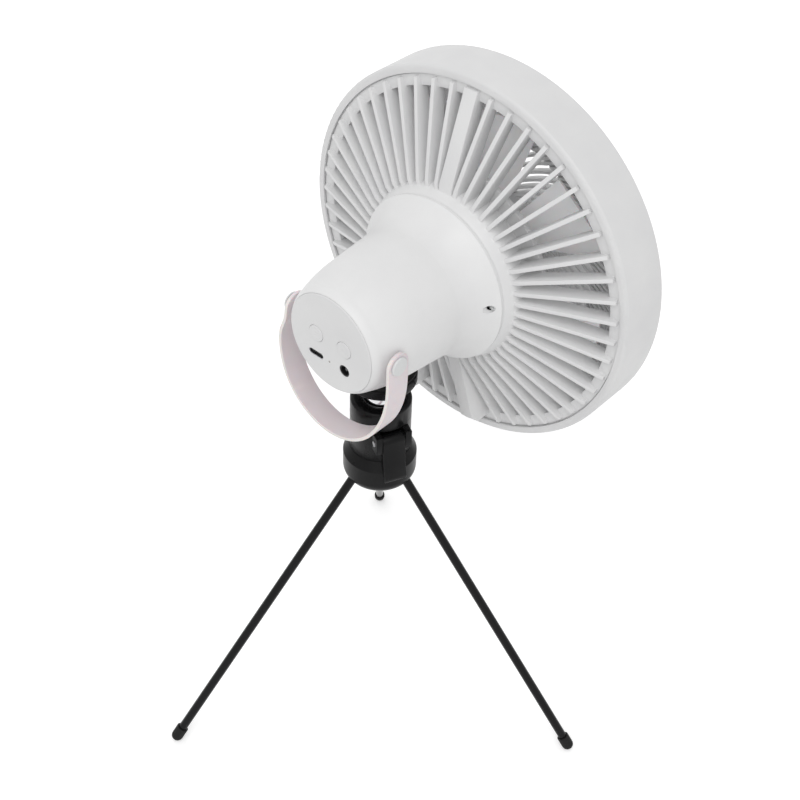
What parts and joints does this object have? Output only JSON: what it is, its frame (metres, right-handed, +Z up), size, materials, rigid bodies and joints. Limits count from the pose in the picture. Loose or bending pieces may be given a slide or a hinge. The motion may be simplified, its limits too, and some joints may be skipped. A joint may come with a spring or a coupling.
{
  "type": "portable fan",
  "caption": "Round rechargeable fan with a bell-shaped rear housing and hanging strap on a folding mini tripod with a ball head.",
  "frame": {"origin": "on the ground at the middle of the whole box", "axes": "+Z up, -Y the way the fan blows, +X to the fan's left as it blows"},
  "size_m": [0.211, 0.206, 0.3347],
  "materials": {
    "white_shell": "satin moulded",
    "white_housing": "fine satin",
    "white_panel": "fine satin",
    "pink_strap": "smooth moulded",
    "pin_white": "satin",
    "black_plastic": "semi-gloss",
    "black_metal": "gloss painted",
    "black_rubber": "matt",
    "chrome": "polished",
    "steel": "plain",
    "brass": "plain",
    "cell_wrap": "shrink wrap",
    "board_green": "solder mask",
    "lamp_diffuser": "frosted",
    "motor_metal": "plain",
    "blade_white": "satin moulded"
  },
  "bodies": {
    "tripod_base": {"ball_barrel": "black_plastic", "ball_seat": "black_plastic", "lever_pin": "chrome", "leg_collar": "black_plastic", "collar_screw": "steel", "leg_pin_1": "steel", "leg_pin_2": "steel", "leg_pin_3": "steel"},
    "lever": {"locking_lever": "black_plastic"},
    "first_leg": {"leg_1": "black_metal", "foot_1": "black_rubber"},
    "second_leg": {"leg_2": "black_metal", "foot_2": "black_rubber"},
    "third_leg": {"leg_3": "black_metal", "foot_3": "black_rubber"},
    "ball": {"head_ball": "chrome"},
    "head": {"platform_stem": "black_plastic", "platform_pad": "black_rubber", "quarter_inch_screw": "steel"},
    "rotor": {"rotor_cup": "motor_metal", "motor_shaft": "steel", "impeller": "blade_white"},
    "fan_button_body": {"fan_button": "white_panel"},
    "light_button_body": {"light_button": "white_panel"},
    "strap": {"strap_handle": "pink_strap"},
    "fan": {"ring_shell": "white_shell", "rear_grille": "white_shell", "front_grille": "white_shell", "motor_housing": "white_housing", "threaded_insert": "brass", "housing_screw_left": "steel", "housing_screw_right": "steel", "end_panel": "white_panel", "usb_c_shell": "steel", "usb_c_tongue": "black_plastic", "dc_jack": "black_plastic", "dc_pin": "steel", "status_light": "lamp_diffuser", "battery_cell_1": "cell_wrap", "battery_cell_2": "cell_wrap", "battery_cell_3": "cell_wrap", "front_battery_holder": "white_shell", "rear_battery_holder": "white_shell", "control_board": "board_green", "shaft_bearing": "steel", "motor_stator": "motor_metal", "led_board": "board_green", "lamp_lens": "lamp_diffuser", "strap_pin_left": "pin_white", "strap_pin_right": "pin_white"}
  },
  "joints": [
    {"name": "first_leg_fold", "type": "hinge", "parent": "tripod_base", "child": "first_leg", "pos_m": [0.01579, -0.00364, 0.15223], "axis": [-0.9507, 0.3102, 0], "range_deg": [0, 36]},
    {"name": "second_leg_fold", "type": "hinge", "parent": "tripod_base", "child": "second_leg", "pos_m": [0.0042, -0.01406, 0.15223], "axis": [0.2067, -0.9784, 0], "range_deg": [0, 36]},
    {"name": "third_leg_fold", "type": "hinge", "parent": "tripod_base", "child": "third_leg", "pos_m": [0.01902, -0.01889, 0.15223], "axis": [0.744, 0.6682, 0], "range_deg": [0, 36]},
    {"name": "lever_flip", "type": "hinge", "parent": "tripod_base", "child": "lever", "pos_m": [0.00031, -0.00628, 0.17623], "axis": [0.4226, 0.9063, 0], "range_deg": [0, 70]},
    {"name": "head_side_tilt", "type": "hinge", "parent": "tripod_base", "child": "ball", "pos_m": [0.013, -0.0122, 0.19043], "axis": [0, 1, 0], "range_deg": [-12, 12]},
    {"name": "head_tilt", "type": "hinge", "parent": "ball", "child": "head", "pos_m": [0.013, -0.0122, 0.19043], "axis": [1, 0, 0], "range_deg": [-12, 20]},
    {"name": "head_swivel", "type": "hinge", "parent": "head", "child": "fan", "pos_m": [0.013, -0.0122, 0.21123], "axis": [0, 0, 1], "range_deg": [-180, 180]},
    {"name": "impeller_spin", "type": "hinge", "parent": "fan", "child": "rotor", "pos_m": [0.013, -0.0789, 0.24223], "axis": [0, 1, 0], "continuous": true},
    {"name": "fan_button_press", "type": "slide", "parent": "fan", "child": "fan_button_body", "axis": [0, -1, 0], "range_m": [0, 0.0008], "stiffness_N_per_m": 500, "springref_m": -0.0008},
    {"name": "light_button_press", "type": "slide", "parent": "fan", "child": "light_button_body", "axis": [0, -1, 0], "range_m": [0, 0.0008], "stiffness_N_per_m": 500, "springref_m": -0.0008},
    {"name": "strap_swing", "type": "hinge", "parent": "fan", "child": "strap", "pos_m": [0.013, 0.0111, 0.24223], "axis": [1, 0, 0], "range_deg": [-1, 180]}
  ]
}
